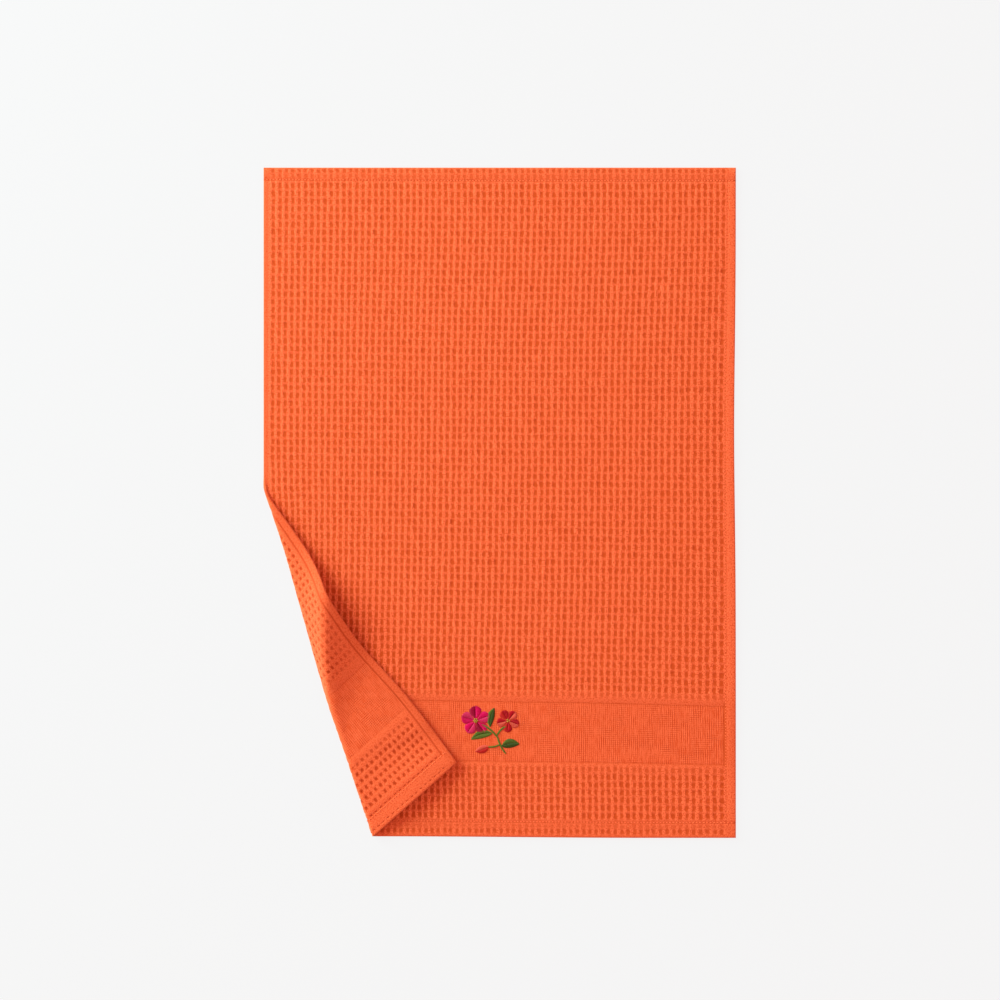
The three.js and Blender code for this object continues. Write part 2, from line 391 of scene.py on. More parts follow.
@dataclass(frozen=True)
class Weave:
    """The waffle's columns and rows of cells in the even weave, and how the real cloth drifts from it."""

    # Width of the left hem, and of its turned part, between which it widens and pushes the columns near by
    hem_left: float = 6.1
    hem_left_of_corner: float = 9.3
    widening: Pair = (-60.0, 60.0)
    widening_reach: float = 65.0

    # Seams of the hems, edges of the band, and how near to an edge the side's own profile and weave stay
    seam_left: float = -242.7
    seam_right: float = 238.7
    seam_bottom: float = -335.4
    seam_top: float = 338.9
    band: Pair = (-271.4, -207.6)
    side_rim: float = 2.0
    seam_edge: float = 0.1

    # Painted shade of creases: reach, the dip that gives all of it, its share by the band, and that over the left hem
    crease_reach: float = 1.2
    crease_depth: float = 0.6
    band_crease: float = 0.45
    hem_shade: float = 0.18

    columns: tuple[Run, ...] = (Run(-241.6, 237.6, 72),)
    rows: tuple[Run, ...] = (
        Run(-332.4, -281.7, 6),
        Run(-281.7, -274.4, 1, 0.7),
        Run(-200.7, -194.9, 1, 0.6),
        Run(-194.9, 337.4, 65),
    )
    # Flattened rows of the end hems on the front
    hem_rows: tuple[Run, ...] = (
        Run(-348.3, -341.3, 1, 0.8),
        Run(-341.3, -337.2, 1, 0.35),
        Run(340.2, 346.3, 1, 0.6),
        Run(346.3, 351.4, 1, 0.8),
    )
    # Squashed holes on the back, at the outer fold of an end hem and close by its seam
    squashed: tuple[Run, ...] = (
        Run(-348.4, -346.2, 1, 0.75),
        Run(-334.6, -332.2, 1, 0.9),
        Run(336.4, 338.4, 1, 0.9),
        Run(346.2, 348.4, 1, 0.75),
    )
    # Where the back's hollows are pressed together behind the ridge: middle and reach of the place, and their loss
    pressed_at: Pair = (-234.0, -178.0)
    pressed_reach: Pair = (19.0, 34.0)
    pressed: float = 0.6
    front: Profile = Profile(
        across=(
            (-248, 0.6), (-247.6, 1.35), (-246.8, 1.5), (-244.2, 1.4), (-242.9, 1.3), (-241.6, 1.5),
            (237.6, 1.5), (238.7, 1.2), (239.9, 1.5), (243.6, 1.5), (246.6, 1.47), (247.6, 1.3), (248, 0.6),
        ),
        along=(
            (-352, 0.6), (-351.6, 1.3), (-350.6, 1.47), (-348.3, 1.5), (-341.3, 1.5), (-337.2, 1.5), (-335.4, 1.15),
            (-334, 1.5), (-332.4, 1.5), (-274.4, 1.5), (-272.7, 1.4), (-271.4, 0.95), (-270.1, 1.2), (-268.6, 1.25),
            (-266.8, 1.1), *((y, 1.05) for y in range(-258, -217, 8)), (-209, 1.1), (-207.6, 0.95), (-206.2, 1.25),
            (-203.4, 1.3), (-200.7, 1.5), (337.4, 1.5), (338.9, 0.85), (340.2, 1.5), (351.4, 1.3), (352, 0.6),
        ),
    )
    back: Profile = Profile(
        across=(
            (-248, 0.6), (-247.6, 1.3), (-246.6, 1.5), (-243.9, 1.55), (-243.4, 1.5), (-242.7, 1.0), (-242, 1.1),
            (-241.2, 1.35), (-238.9, 1.5), (235.2, 1.5), (237.2, 1.35), (238, 1.1), (238.7, 1.0), (239.4, 1.5),
            (240, 1.55), (243.6, 1.5), (246.6, 1.5), (247.6, 1.3), (248, 0.6),
        ),
        along=(
            (-352, 0.6), (-351.6, 1.3), (-350.6, 1.47), (-348.4, 1.5), (-346.2, 1.5), (-341.5, 1.5), (-337.2, 1.55),
            (-336.2, 1.6), (-335.4, 1.5), (-334.6, 0.95), (-332.2, 1.25), (-330, 1.5), (-276, 1.5), (-274.4, 1.45),
            (-272.7, 1.4), (-271.4, 1.25), (-270.1, 1.35), *((y, 1.35) for y in range(-266, -217, 8)), (-209, 1.35),
            (-207.6, 1.25), (-206.2, 1.4), (-203.4, 1.45), (-200.7, 1.5), (334.2, 1.5), (336.4, 1.25), (338.4, 0.95),
            (339.2, 1.5), (340.2, 1.6), (341.2, 1.55), (346.2, 1.5), (348.4, 1.5), (350.6, 1.47), (351.6, 1.3),
            (352, 0.6),
        ),
    )

    # How far the columns drift sideways, by place along, and the share of it that a column takes, by place across
    column_drift: Table = (
        (-352, -7.3), (-309, -7.5), (-200, -8.6), (-149, -7.9), (-86, -6.2), (-23, -4.8), (40, -3.4), (102, -2.8),
        (134, -2.7), (165, -2.4), (197, -1.5), (228, -0.5), (260, 0.7), (291, 1.5), (323, 1.9), (352, 1.7),
    )
    column_share: Table = (
        (-248, 0.0), (-231, 0.28), (-199, 0.42), (-136, 0.68), (-73, 0.85), (20, 1.0), (84, 0.94), (148, 0.92),
        (180, 0.82), (210, 0.6), (233, 0.25), (248, 0.0),
    )
    # How far the rows bow down, by place across, and the share of it that a row takes, by place along
    row_bow: Table = (
        (-248, -1.6), (-231, -1.4), (-168, -0.4), (-105, 0.6), (-42, 1.7), (20, 2.3), (84, 2.0), (248, 2.0),
    )
    bow_share: Table = (
        (-352, 0.0), (-309, 0.12), (-271, 0.6), (-212, 1.0), (134, 1.0), (228, 0.85), (334, 0.35), (352, 0.0),
    )
    # How far the rows lean down at the right, by place along, and the share of it by place across
    row_lean: Table = (
        (-352, 0.0), (-309, 0.6), (-271, 2.4), (-212, 3.9), (-149, 3.6), (-55, 2.4), (40, 1.5), (134, -0.8),
        (228, -2.2), (323, 0.1), (352, 0.0),
    )
    lean_share: Table = ((20, 0.0), (84, 0.15), (148, 0.45), (210, 1.0), (248, 1.2))

    def drifted(self, x: np.ndarray, y: np.ndarray) -> tuple[np.ndarray, np.ndarray]:
        """Where points of the even weave lie in the real flat cloth.

        Each drift is the product of a table across and a table along the cloth. The left hem is wider on the
        turned corner, which pushes the first columns together.

        Args:
            x: places across the even weave.
            y: places along it.

        Returns:
            Places across and along the flat cloth.
        """
        sideways = read(self.column_drift, y) * read(self.column_share, x)
        wider = (self.hem_left_of_corner - self.hem_left) * (1 - smoothstep(y, *self.widening))
        taken = read(((LEFT, 0.0), (LEFT + self.hem_left, 1.0), (LEFT + self.widening_reach, 0.0)), x)
        sag = read(self.row_bow, x) * read(self.bow_share, y) + read(self.lean_share, x) * read(self.row_lean, y)
        return x + sideways + wider * taken, y - sag

    def cells(self, face: Face) -> tuple[Cells, Cells]:
        """Columns and rows of a face's hollows.

        Args:
            face: face of the cloth.

        Returns:
            The columns' cells across and the rows' cells along the even weave.
        """
        columns = Cells.of_runs(self.columns)
        if face is Face.BACK:
            return columns.between(), Cells.of_runs(self.rows).between(self.squashed)
        return columns, Cells.of_runs(tuple(sorted(self.rows + self.hem_rows, key=lambda run: run.start)))

    def profile(self, face: Face) -> Profile:
        """Profile of a face."""
        return self.front if face is Face.FRONT else self.back

    def half(self, x: np.ndarray, y: np.ndarray, face: Face) -> np.ndarray:
        """Distance from the middle of the cloth to a face on its ribs.

        The side seams end at the end hems, which lie over them, and the band ends at the side hems.

        Args:
            x: places across the even weave.
            y: places along it.
            face: face of the cloth.

        Returns:
            The lower one of both profiles.
        """
        across, along = read(self.profile(face).across, x), read(self.profile(face).along, y)
        in_end_hem = ((y < self.seam_bottom) | (y > self.seam_top)) & (np.abs(x) < RIGHT - self.side_rim)
        in_side_hem = ((x < self.seam_left) | (x > self.seam_right)) & (np.abs(y) < -self.seam_bottom)
        return np.minimum(np.where(in_end_hem, WAFFLE_HALF, across), np.where(in_side_hem, WAFFLE_HALF, along))

    def open(self, even: np.ndarray, face: Face) -> np.ndarray:
        """Share of their depth that hollows keep: 1 less a bell-shaped loss where the back is pressed together.

        Args:
            even: places in the even weave.
            face: face of the cloth.

        Returns:
            The share at each place.
        """
        if face is Face.FRONT:
            return np.ones(even.shape[:-1])
        away = (even - self.pressed_at) / self.pressed_reach
        return 1 - self.pressed * np.exp(-(away**2).sum(axis=-1))

    def crease(self, x: np.ndarray, y: np.ndarray, face: Face) -> np.ndarray:
        """Share of painted shade: in a crease it grows with a face's dip close by a seam and is weaker by the band.

        The whole left hem, which lies nearest the lamp, gets a little of it too.

        Args:
            x: places across the even weave.
            y: places along it.
            face: face of the cloth.

        Returns:
            The share at each place.
        """
        sides, ends = (self.seam_left, self.seam_right), (self.seam_bottom, self.seam_top)
        by_side, by_end, by_band = (
            np.min([np.abs(place - at) for at in lines], axis=0) < self.crease_reach
            for place, lines in ((x, sides), (y, ends), (y, self.band))
        )
        dip = np.clip((WAFFLE_HALF - self.half(x, y, face)) / self.crease_depth, 0.0, 1.0)
        share = np.maximum(by_side | by_end, self.band_crease * by_band)
        # Painted shade in creases, and a little over the whole left hem
        return np.maximum(share * dip, self.hem_shade * (x < self.seam_left))

    def plain(self, x: np.ndarray, y: np.ndarray) -> np.ndarray:
        """Share of plain weave: 1 within the band and its seams and 0 beyond.

        Args:
            x: places across the even weave.
            y: places along it.

        Returns:
            The share at each place.
        """
        edge = self.seam_edge
        in_band = (y > self.band[0] - edge) & (y < self.band[1] + edge)
        return (in_band & (x > self.seam_left + edge) & (x < self.seam_right - edge)).astype(float)


@dataclass(frozen=True)
class Hollow:
    """How a hollow fills its cell.

    The cell's own points lie off its middle by offsets, sunk by shares of its depth. The faces join them to the
    cell's corners, counted counterclockwise from the lower left as 0 to 3. Where bars is set, 4 and 5 are the middles
    of the cell's lower and upper border.
    """

    offsets: np.ndarray
    shares: np.ndarray
    bars: bool
    quads: tuple[tuple[int, ...], ...]
    triangles: tuple[tuple[int, ...], ...]


@dataclass(frozen=True)
class FaceMesh:
    """One face of the cloth: points with their values, faces, and its own lines for the rim along the outline.

    even is each point's place in the even weave, cells the same place counted in cells, and depth the share of the
    full depth that hollows have there.
    """

    points: np.ndarray
    even: np.ndarray
    cells: np.ndarray
    depth: np.ndarray
    quads: np.ndarray
    triangles: np.ndarray
    grid: np.ndarray
    columns: np.ndarray
    rows: np.ndarray


def link(name: str, data: bpy.types.ID) -> bpy.types.Object:
    """Make an object of its data and link it to the scene.

    Args:
        name: name of the object.
        data: its mesh, camera or light.

    Returns:
        The object.
    """
    made = bpy.data.objects.new(name, data)
    bpy.context.scene.collection.objects.link(made)
    return made


def write_mesh(
    name: str, points: np.ndarray, quads: np.ndarray, triangles: np.ndarray | None = None
) -> bpy.types.Object:
    """Make a smooth mesh object of whole arrays.

    Args:
        name: name of the piece.
        points: its points in millimetres, one a row.
        quads: point numbers of its faces with four corners.
        triangles: point numbers of its faces with three corners.

    Returns:
        The object, linked to the scene.
    """
    triangles = np.zeros((0, 3), int) if triangles is None else triangles
    corners = np.concatenate([quads.ravel(), triangles.ravel()]).astype(np.int32)
    sizes = np.concatenate([np.full(len(quads), 4), np.full(len(triangles), 3)]).astype(np.int32)
    starts = np.concatenate([[0], np.cumsum(sizes)[:-1]]).astype(np.int32)
    mesh = bpy.data.meshes.new(name)
    mesh.vertices.add(len(points))
    mesh.vertices.foreach_set("co", (points * MM).astype(np.float32).ravel())
    mesh.loops.add(len(corners))
    mesh.loops.foreach_set("vertex_index", corners)
    mesh.polygons.add(len(sizes))
    mesh.polygons.foreach_set("loop_start", starts)
    mesh.polygons.foreach_set("loop_total", sizes)
    mesh.polygons.foreach_set("use_smooth", np.ones(len(sizes), bool))
    mesh.update(calc_edges=True)
    mesh.validate()
    return link(name, mesh)


def set_uv(piece: bpy.types.Object, name: str, places: np.ndarray) -> None:
    """Give a piece a UV map.

    Args:
        piece: the piece.
        name: name of the map.
        places: one pair of values a point.
    """
    mesh = piece.data
    corners = np.empty(len(mesh.loops), np.int32)
    mesh.loops.foreach_get("vertex_index", corners)
    layer = mesh.uv_layers.new(name=name)
    layer.data.foreach_set("uv", places[corners].astype(np.float32).ravel())


def set_values(piece: bpy.types.Object, name: str, values: np.ndarray) -> None:
    """Give a piece a named number at each point."""
    layer = piece.data.attributes.new(name, "FLOAT", "POINT")
    layer.data.foreach_set("value", values.astype(np.float32))


def add_node(
    tree: bpy.types.NodeTree,
    kind: str,
    inputs: dict[int | str, object] | None = None,
    output: int | str = 0,
    **settings: object,
) -> bpy.types.NodeSocket | None:
    """Add a node to a tree.

    Args:
        tree: the material's or the world's node tree.
        kind: Blender's name for the node, without the ShaderNode that it starts with.
        inputs: a value, or an output to link, for each named or numbered input. In a Mix node, 0 is the share, 2
            and 3 are its two numbers, 4 and 5 its vectors, and 6 and 7 its colours.
        output: name or number of the output that is wanted.
        settings: the node's own settings.

    Returns:
        The output, or None for a node without any.
    """
    node = tree.nodes.new(f"ShaderNode{kind}")
    for name, value in settings.items():
        setattr(node, name, value)
    for name, value in (inputs or {}).items():
        if isinstance(value, bpy.types.NodeSocket):
            tree.links.new(value, node.inputs[name])
        else:
            node.inputs[name].default_value = value
    return node.outputs[output] if node.outputs else None


def new_material(name: str) -> bpy.types.Material:
    """Make a material with an empty node tree.

    Args:
        name: name of the material.

    Returns:
        The material.
    """
    made = bpy.data.materials.new(name)
    made.use_nodes = True
    made.node_tree.nodes.clear()
    return made


def even_material(name: str, finish: dict[str, object]) -> bpy.types.Material:
    """Make a material whose shader has the same settings all over.

    Args:
        name: name of the material.
        finish: value for each of the shader's inputs that is set.

    Returns:
        The material.
    """
    made = new_material(name)
    shader = add_node(made.node_tree, "BsdfPrincipled", finish)
    add_node(made.node_tree, "OutputMaterial", {"Surface": shader})
    return made


@dataclass(frozen=True)
class WaffleCotton:
    """Orange cotton, yarn dyed and waffle woven: matt, a little fuzzy, with redder shade painted into the hollows.

    The hollows stand in the mesh, and bump and painted shade round them off. A hollow's painted shade is full where
    sqrt((x/a)^4 + (y/b)^4) is well under 1 and gone where it is well over, with x and y off its middle and a and b
    its half sizes. On the front it leans to the lower right, onto the side that the lamp lights, so that together
    with the relief's own shadow the pit looks evenly dark, as in the photograph. The crests of the front's ribs get a
    painted highlight, and the bars between its pits get a little painted shade, as do the creases by the seams and
    the left hem. Gaps between threads are darker, and fuzz breaks up all of it. The cords of the plain band run both
    ways, each stronger in patches, with slubs, the thick places of a yarn, along the cloth. Threads and cords are
    drawn coarser than the real 0.8 mm threads, which are finer than a picture of the whole towel shows. The colour is
    cloudy by a few per cent, as washed cotton is.
    """

    # Yarn in two shades, painted highlight of the crests, painted shade of front and back hollows, gaps between
    # threads
    yarn: str = "#e7643a"
    cloud: str = "#e15f36"
    # Painted highlight of the front's rib crests
    crest_highlight: str = "#f97144"
    # Painted shade of the front's pits and of the back's holes
    pit: str = "#bc3f0c"
    hole: str = "#b2360c"
    gap: str = "#cc4416"
    sheen: str = "#ffc488"
    roughness: float = 0.92
    specular: float = 0.15
    sheen_weight: float = 0.55
    sheen_roughness: float = 0.45

    # Sizes of the patterns in millimetres
    thread_mm: float = 1.3
    cord_mm: float = 2.1
    fuzz_mm: float = 1.35
    patch_mm: float = 12.0
    cloud_mm: float = 33.0
    slub_mm: Pair = (2.1, 11.0)
    wobble_mm: float = 4.5

    # Middle and half sizes of a hollow in cells, and the spans where its painted shade, crest highlight and dip
    # change
    wobble: float = 0.24
    lean: Pair = (0.1, -0.1)
    pit_half: Triple = (0.232, 0.315, 1.0)
    hole_half: Triple = (0.23, 0.24, 1.0)
    shade_fade: Pair = (0.4, 1.9)
    crest_rise: Pair = (0.8, 2.4)
    dip_fade: Pair = (0.3, 4.5)

    # Bump in millimetres
    dip_bump: float = 0.1
    thread_bump: float = 0.05
    band_bump: float = 0.12
    fuzz_bump: float = 0.45
    band_fuzz_bump: float = 0.34

    # Strength of the band's cords and picks, as the slope and start of a line over their patches
    cord_patches: Pair = (4.5, -1.45)
    pick_patches: Pair = (4.5, -1.75)

    # Share of the gaps' colour: by threads, and as the slope and start of a line over the fuzz, and by slubs
    thread_gap: float = -0.15
    cord_gap: float = -0.45
    fuzz_gap: Pair = (-6.0, 3.2)
    band_fuzz_gap: Pair = (-2.0, 2.25)
    slub_gap: float = -1.7

    # Share of the painted shade: a line over the fuzz in the hollows, how much more the back has, and that of the
    # bars
    shade: Pair = (2.9, -0.66)
    back_shade: float = 0.22
    bar_shade: float = 0.16

    def material(self) -> bpy.types.Material:
        """Make the material.

        Returns:
            The material.
        """
        made = new_material("waffle_cotton")
        node = partial(add_node, made.node_tree)
        flat = node("UVMap", uv_map="flat")
        cells = node("UVMap", uv_map="cells")
        in_mm = node("VectorMath", {0: flat, "Scale": 1 / MM}, operation="SCALE")
        across, along, _ = node("SeparateXYZ", {0: in_mm}).node.outputs
        depth, plain, back, crease = (
            node("Attribute", output="Fac", attribute_name=name) for name in ("depth", "plain", "back", "crease")
        )
        fuzz, patches, cloudy, wobbly = (
            node("TexNoise", {"Vector": in_mm, "Scale": 1 / size, "Detail": detail, "Roughness": 0.6}, output)
            for size, detail, output in (
                (self.fuzz_mm, 3.0, "Fac"),
                (self.patch_mm, 2.0, "Color"),
                (self.cloud_mm, 3.0, "Fac"),
                (self.wobble_mm, 0.0, "Color"),
            )
        )
        thin = (1 / self.slub_mm[0], 1 / self.slub_mm[1], 0.0)
        stretched = node("VectorMath", {0: in_mm, 1: thin}, operation="MULTIPLY")
        slubs = node("TexNoise", {"Vector": stretched, "Scale": 1.0, "Detail": 1.0}, "Fac")

        # Distance from the middle of a hollow, which wobbles a little and on the front leans to the side the lamp
        # lights
        amount = (self.wobble, self.wobble, 0.0)
        moved = node("VectorMath", {0: wobbly, 1: amount, 2: cells}, operation="MULTIPLY_ADD")
        within = node("VectorMath", {0: moved}, operation="FRACTION")
        straight = (0.5 + self.wobble / 2, 0.5 + self.wobble / 2, 0.0)
        leaning = (straight[0] + self.lean[0], straight[1] + self.lean[1], 0.0)
        middle, half = (
            node("Mix", {0: back, 4: on_front, 5: on_back}, 1, data_type="VECTOR")
            for on_front, on_back in ((leaning, straight), (self.pit_half, self.hole_half))
        )
        off = node("VectorMath", {0: within, 1: middle}, operation="SUBTRACT")
        ratio = node("VectorMath", {0: off, 1: half}, operation="DIVIDE")
        square = node("VectorMath", {0: ratio, 1: ratio}, operation="MULTIPLY")
        far = node("VectorMath", {0: square}, "Value", operation="LENGTH")
        sideways = node("SeparateXYZ", {0: square})
        inside, beside, dip = (
            node(
                "MapRange",
                {"Value": value, "From Min": low, "From Max": high, "To Min": start, "To Max": 1 - start},
                interpolation_type="SMOOTHSTEP",
            )
            for value, (low, high), start in (
                (far, self.shade_fade, 1.0),
                (sideways, self.crest_rise, 0.0),
                (far, self.dip_fade, 1.0),
            )
        )

        # Shares of painted shade in hollows, and on the front of painted highlight on crests and painted shade on
        # bars
        hollow = node("Math", {0: inside, 1: depth}, operation="MULTIPLY")
        front = node("Math", {0: depth, 1: back}, operation="SUBTRACT", use_clamp=True)
        crest = node("Math", {0: beside, 1: front}, operation="MULTIPLY")
        bars = node("Math", {0: front, 1: crest}, operation="SUBTRACT")

        # Threads of the waffle, and in the band cords both ways, stronger here along and there across
        turns = [
            node("Math", {0: place, 1: 2 * math.pi / spacing}, operation="MULTIPLY")
            for spacing in (self.thread_mm, self.cord_mm)
            for place in (across, along)
        ]
        warp, weft, cords, picks = (node("Math", {0: turn}, operation="SINE") for turn in turns)
        woven = node("Math", {0: warp, 1: weft}, operation="MULTIPLY")
        more_cords, more_picks, _ = node("SeparateXYZ", {0: patches}).node.outputs
        strong, cross = (
            node("Math", {0: more, 1: slope, 2: start}, operation="MULTIPLY_ADD")
            for more, (slope, start) in ((more_cords, self.cord_patches), (more_picks, self.pick_patches))
        )
        cords = node("Math", {0: cords, 1: strong}, operation="MULTIPLY")
        grid = node("Math", {0: picks, 1: cross, 2: cords}, operation="MULTIPLY_ADD")
        threads = node("Mix", {0: plain, 2: woven, 3: grid}, data_type="FLOAT")

        # Height in millimetres, with dips in the middles of the hollows
        soft, raised, darker = (
            node("Mix", {0: plain, 2: in_waffle, 3: in_band}, data_type="FLOAT")
            for in_waffle, in_band in (
                (self.fuzz_bump, self.band_fuzz_bump),
                (self.thread_bump, self.band_bump),
                (self.thread_gap, self.cord_gap),
            )
        )
        soft = node("Math", {0: soft, 1: fuzz}, operation="MULTIPLY")
        rough = node("Math", {0: threads, 1: raised, 2: soft}, operation="MULTIPLY_ADD")
        sunk = node("Math", {0: depth, 1: self.dip_bump}, operation="MULTIPLY")
        sunk = node("Math", {0: sunk, 1: dip}, operation="MULTIPLY")
        height = node("Math", {0: rough, 1: sunk}, operation="SUBTRACT")
        bump = node("Bump", {"Strength": 1.0, "Distance": MM, "Height": height})

        # Share of the gaps' colour, and of painted shade in the hollows, the creases and on the bars
        open_waffle, open_band, strength = (
            node("Math", {0: fuzz, 1: slope, 2: start}, operation="MULTIPLY_ADD")
            for slope, start in (self.fuzz_gap, self.band_fuzz_gap, self.shade)
        )
        open_band = node("Math", {0: slubs, 1: self.slub_gap, 2: open_band}, operation="MULTIPLY_ADD")
        gaps = node("Mix", {0: plain, 2: open_waffle, 3: open_band}, data_type="FLOAT")
        gaps = node("Math", {0: threads, 1: darker, 2: gaps}, operation="MULTIPLY_ADD", use_clamp=True)
        more = {0: back, 1: self.back_shade, 2: strength}
        strength = node("Math", more, operation="MULTIPLY_ADD", use_clamp=True)
        # Painted shade: in the hollows, in the creases and on the bars
        red = node("Math", {0: hollow, 1: strength, 2: crease}, operation="MULTIPLY_ADD")
        red = node("Math", {0: bars, 1: self.bar_shade, 2: red}, operation="MULTIPLY_ADD", use_clamp=True)

        colour = linear(self.yarn)
        # Cloudy yarn, painted highlight on the crests, and the gaps' colour
        for share, other in ((cloudy, self.cloud), (crest, self.crest_highlight), (gaps, self.gap)):
            colour = node("Mix", {0: share, 6: colour, 7: linear(other)}, 2, data_type="RGBA")
        # Colour of the painted shade, in the front's pits or the back's holes
        painted_shade_colour = node("Mix", {0: back, 6: linear(self.pit), 7: linear(self.hole)}, 2, data_type="RGBA")
        colour = node("Mix", {0: red, 6: colour, 7: painted_shade_colour}, 2, data_type="RGBA")
        finish = {
            "Base Color": colour,
            "Roughness": self.roughness,
            "Specular IOR Level": self.specular,
            "Sheen Weight": self.sheen_weight,
            "Sheen Roughness": self.sheen_roughness,
            "Sheen Tint": linear(self.sheen),
            "Normal": bump,
        }
        node("OutputMaterial", {"Surface": node("BsdfPrincipled", finish)})
        return made


@dataclass(frozen=True)
class StitchingThread:
    """Twisted sewing or embroidery thread: smooth and softly shiny along its length, in one plain colour."""

    name: str
    colour: str
    roughness: float = 0.5
    shine: float = 0.18

    def material(self) -> bpy.types.Material:
        """Make the material."""
        finish = {"Base Color": linear(self.colour), "Roughness": self.roughness, "Specular IOR Level": self.shine}
        return even_material(self.name, finish)


@dataclass
class Towel:
    """The cloth itself: a front and a back face in relief, joined along the outline.

    On the front each cell is a hollow with steep walls and a flat floor, between ribs that run along the cloth and
    lower bars across it. On the back each crossing of the ribs shows as a small pointed hole.
    """

    laid: LaidCloth
    weave: Weave
    rib_half: float = 1.05
    bar_half: float = 1.0
    wall: float = 0.8
    pit_depth: float = 0.26
    mouth_share: float = 0.15
    bar_drop: float = 0.12
    hole_size: float = 0.38
    hole_depth: float = 0.9
    rim_share: float = 0.2
    unevenness: float = 0.2
    still_ends: float = 16.0
    roll_margin: float = 1.0
    # Depth value of the side hems beyond the columns, which gives them a weaker painted highlight on the front
    hem_crest: float = 0.35
    waver: dict[Face, float] = field(default_factory=lambda: {Face.FRONT: 0.36, Face.BACK: 0.2})
    finish: WaffleCotton = field(default_factory=WaffleCotton)

    def _pit(self) -> Hollow:
        """Pit of the front: four points of its mouth, then four of its floor, a wall's width further in.

        Returns:
            The hollow, with its faces beside the ribs, its walls and its floor.
        """
        columns, rows = self.weave.cells(Face.FRONT)
        corners = np.array([(-1, -1), (1, -1), (1, 1), (-1, 1)])
        size = across_and_along(columns.high - columns.low, rows.high - rows.low) / 2
        mouth = (size - (self.rib_half, self.bar_half))[:, :, None] * corners
        beside, floor = ((0, 6, 9, 3), (1, 2, 8, 7)), (10, 11, 12, 13)
        walls = ((6, 7, 11, 10), (7, 8, 12, 11), (8, 9, 13, 12), (9, 6, 10, 13))
        return Hollow(
            offsets=np.concatenate([mouth, mouth - self.wall * corners], axis=2),
            shares=np.repeat([self.mouth_share, 1.0], 4) * self.pit_depth,
            bars=True,
            quads=(*beside, *walls, floor),
            triangles=((0, 4, 6), (4, 7, 6), (4, 1, 7), (3, 9, 5), (9, 8, 5), (8, 2, 5)),
        )

    def _hole(self) -> Hollow:
        """Hole of the back: the lower, right, upper and left point of its rim, then its bottom.

        Returns:
            The hollow, with its faces around the rim and those that go down to the bottom.
        """
        columns, rows = self.weave.cells(Face.BACK)
        rim = np.array([(0, -1), (1, 0), (0, 1), (-1, 0), (0, 0)]) * self.hole_size
        size = across_and_along(columns.high - columns.low, rows.high - rows.low) / 2
        around = ((0, 1, 4), (1, 5, 4), (1, 2, 5), (2, 6, 5), (2, 3, 6), (3, 7, 6), (3, 0, 7), (0, 4, 7))
        down = ((4, 5, 8), (5, 6, 8), (6, 7, 8), (7, 4, 8))
        return Hollow(
            offsets=size[:, :, None] * rim,
            shares=np.array([*[self.rim_share] * 4, 1.0]) * self.hole_depth,
            bars=False,
            quads=(),
            triangles=(*around, *down),
        )

    def _place(self, even: np.ndarray, sunk: np.ndarray, face: Face) -> np.ndarray:
        """Lay points of a face: middle of the laid cloth, and along its normal the half thickness less the relief.

        Args:
            even: places in the even weave.
            sunk: how far each point lies below the ribs.
            face: face of the cloth.

        Returns:
            Points in space.
        """
        half = self.weave.half(even[..., 0], even[..., 1], face) - sunk
        return self.laid.place(*self.weave.drifted(even[..., 0], even[..., 1]), face.value * half)

    def on_face(self, even: np.ndarray, height: np.ndarray, face: Face) -> np.ndarray:
        """Lay points that stand a height off a face of the cloth."""
        return self._place(even, -height, face)

    def _wavering(self, even: np.ndarray, face: Face, numbers: np.random.Generator) -> np.ndarray:
        """Places moved a little at random, but for those in the hems."""
        inside = (np.abs(even[..., 0]) < self.weave.seam_right) & (np.abs(even[..., 1]) < TOP - self.still_ends)
        return even + self.waver[face] * inside[..., None] * numbers.uniform(-1, 1, even.shape)

    def face(self, face: Face, hollow: Hollow, numbers: np.random.Generator) -> FaceMesh:
        """Make a face: a grid of the profile's lines and the cells' borders, whose cells give way to hollows.

        Args:
            face: face of the cloth.
            hollow: how each cell is filled.
            numbers: source of the small unevenness.

        Returns:
            The face.
        """
        columns, rows = self.weave.cells(face)
        profile = self.weave.profile(face)
        middles = columns.middle if hollow.bars else columns.middle[:0]
        xs = np.unique(np.concatenate([np.transpose(profile.across)[0], columns.low, columns.high, middles]))
        ys = np.unique(np.concatenate([np.transpose(profile.along)[0], rows.low, rows.high]))
        grid = np.arange(xs.size * ys.size).reshape(xs.size, ys.size)
        left, middle, right = (np.searchsorted(xs, at) for at in (columns.low, middles, columns.high))
        low, high = (np.searchsorted(ys, at) for at in (rows.low, rows.high))
        bars = np.zeros(grid.shape)
        bars[np.ix_(middle, np.union1d(low, high))] = self.bar_drop
        even = across_and_along(xs, ys)
        own_even = across_and_along(columns.middle, rows.middle)[:, :, None] + hollow.offsets
        own_depth = rows.depth[:, None] * self.weave.open(own_even, face)
        uneven = 1 + self.unevenness * numbers.uniform(-1, 1, (*own_even.shape[:2], 1))
        shift = numbers.uniform(-1, 1, (*own_even.shape[:2], 1, 2)) + numbers.uniform(-1, 1, own_even.shape)

